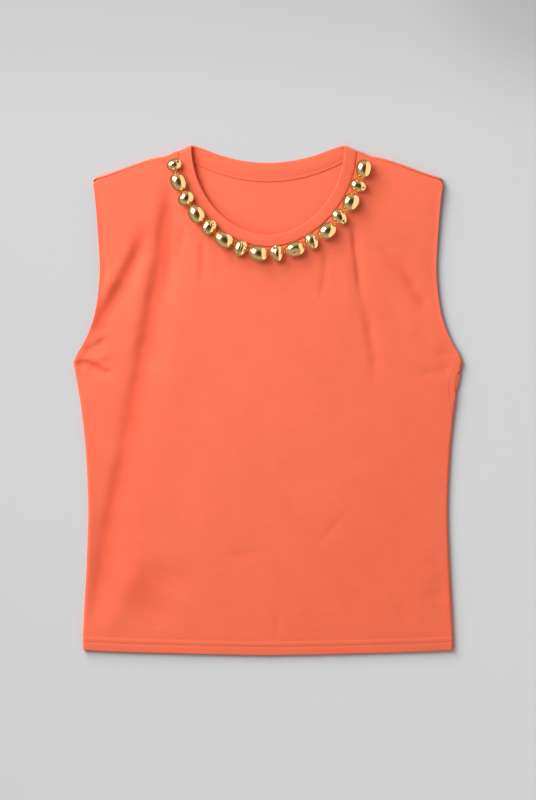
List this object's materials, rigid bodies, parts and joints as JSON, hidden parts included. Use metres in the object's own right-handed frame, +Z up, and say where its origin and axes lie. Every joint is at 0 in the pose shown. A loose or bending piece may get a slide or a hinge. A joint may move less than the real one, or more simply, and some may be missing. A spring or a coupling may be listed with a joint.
{
  "type": "sleeveless top",
  "caption": "Sleeveless jersey top with squared shoulders and a strand of gold pebble beads round the front neck, laid flat on its back.",
  "frame": {"origin": "middle of the outline, on the surface that the top lies on", "axes": "+Z up, out of the front of the top; +Y from the hem to the neck; +X towards the right-hand side as seen from above, which is the wearer's left"},
  "size_m": [0.4486, 0.5876, 0.0221],
  "materials": {
    "jersey": "matte fine knit with faint streaks along its rows",
    "neckband": "matte fine knit, doubled and stitched",
    "beads": "polished gold plating"
  },
  "bodies": {
    "root": {"front_panel": "jersey", "back_panel": "jersey", "neckband_front": "neckband", "neckband_back": "neckband", "bead_01": "beads", "bead_02": "beads", "bead_03": "beads", "bead_04": "beads", "bead_05": "beads", "bead_06": "beads", "bead_07": "beads", "bead_08": "beads", "bead_09": "beads", "bead_10": "beads", "bead_11": "beads", "bead_12": "beads", "bead_13": "beads", "bead_14": "beads", "bead_15": "beads", "bead_16": "beads", "spacer_01": "beads", "spacer_02": "beads", "spacer_03": "beads", "spacer_04": "beads", "spacer_05": "beads", "spacer_06": "beads", "spacer_07": "beads", "spacer_08": "beads", "spacer_09": "beads", "spacer_10": "beads", "spacer_11": "beads", "spacer_12": "beads", "spacer_13": "beads", "spacer_14": "beads", "spacer_15": "beads"}
  },
  "joints": []
}
